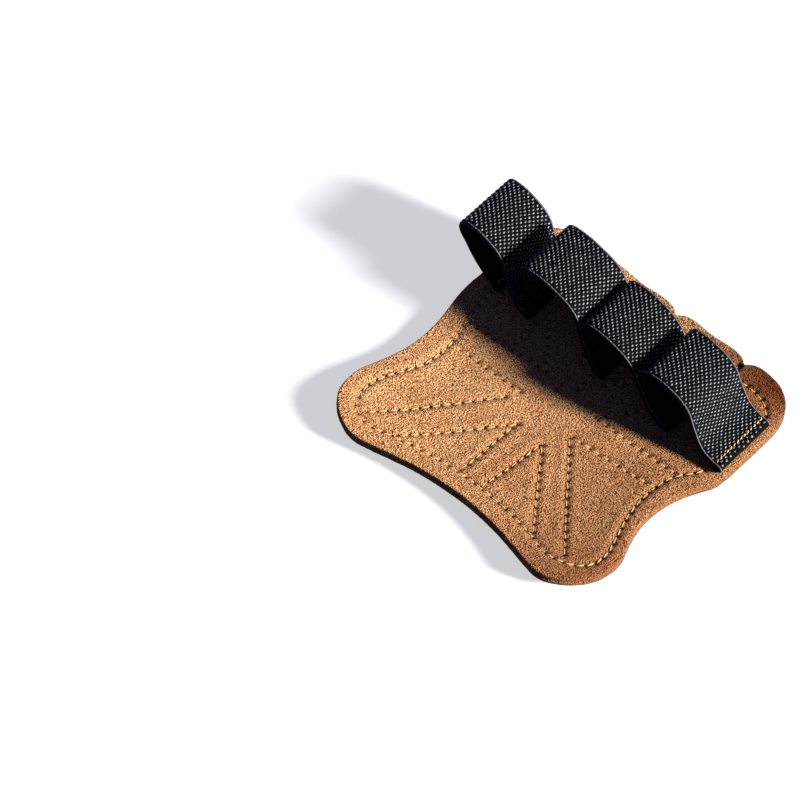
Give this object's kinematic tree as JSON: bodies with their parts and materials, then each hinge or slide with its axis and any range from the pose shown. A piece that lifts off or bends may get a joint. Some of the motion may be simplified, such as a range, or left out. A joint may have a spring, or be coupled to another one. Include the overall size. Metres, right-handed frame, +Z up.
{
  "type": "fitness glove",
  "caption": "Palm grip for one hand: a quilted suede pad with an elastic band sewn across its finger end that stands up as a loop for each finger.",
  "frame": {"origin": "on the floor under the middle of the box round the whole grip, pad lying palm side down", "axes": "+X towards the little finger, +Y towards the finger tips, +Z up out of the side that faces the hand"},
  "size_m": [0.115, 0.1076, 0.026],
  "materials": {
    "suede_palm": "rough suede nap, tan",
    "suede_hand": "rough suede nap, tan",
    "elastic": "woven twill elastic, black, slight sheen"
  },
  "bodies": {
    "root": {"palm_leather": "suede_palm", "hand_leather": "suede_hand", "finger_elastic": "elastic"}
  },
  "joints": []
}
